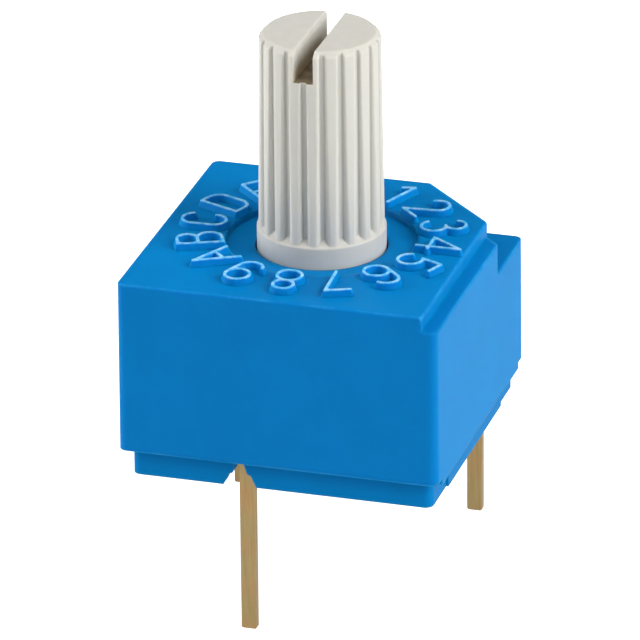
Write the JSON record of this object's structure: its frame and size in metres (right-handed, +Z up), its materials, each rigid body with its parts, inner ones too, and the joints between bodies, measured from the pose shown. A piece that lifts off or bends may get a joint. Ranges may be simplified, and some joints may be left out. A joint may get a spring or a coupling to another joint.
{
  "type": "rotary dip switch",
  "caption": "Square blue board-mounted rotary coded switch with a tall grey ridged shaft, screwdriver slot, hexadecimal dial and straight solder pins.",
  "frame": {"origin": "centre of the pin grid, on the plane of the circuit board that the foot stands on", "axes": "+Z up along the shaft's axis, away from the board; -Y towards the common pin's row; +X towards the side with the low ledge"},
  "size_m": [0.01, 0.01, 0.0184],
  "materials": {
    "blue_cap": "fine moulded satin",
    "blue_base": "fine moulded satin",
    "resin": "self-levelled potting",
    "grey_rotor": "moulded, faintly grained",
    "gold_plate": "gold-plated stamping",
    "seal_rubber": "greased rubber",
    "washer_plastic": "punched film",
    "spring_steel": "rolled strip",
    "pin_metal": "thinly plated stamping",
    "contact_metal": "plated spring bronze"
  },
  "bodies": {
    "case": {"housing": "blue_cap", "base": "blue_base", "seal_resin": "resin", "shaft_seal": "seal_rubber", "thrust_washer": "washer_plastic", "detent_spring": "spring_steel", "terminal_c": "pin_metal", "terminal_1": "pin_metal", "terminal_2": "pin_metal", "terminal_4": "pin_metal", "terminal_8": "pin_metal", "spring_c": "contact_metal", "spring_1": "contact_metal", "spring_2": "contact_metal", "spring_4": "contact_metal", "spring_8": "contact_metal"},
    "turning_part": {"rotor": "grey_rotor", "code_plate": "gold_plate"}
  },
  "joints": [
    {"name": "shaft_turn", "type": "hinge", "parent": "case", "child": "turning_part", "pos_m": [0, 0, 0.0064], "axis": [0, 0, 1], "continuous": true, "deforming": ["detent_spring"]}
  ]
}
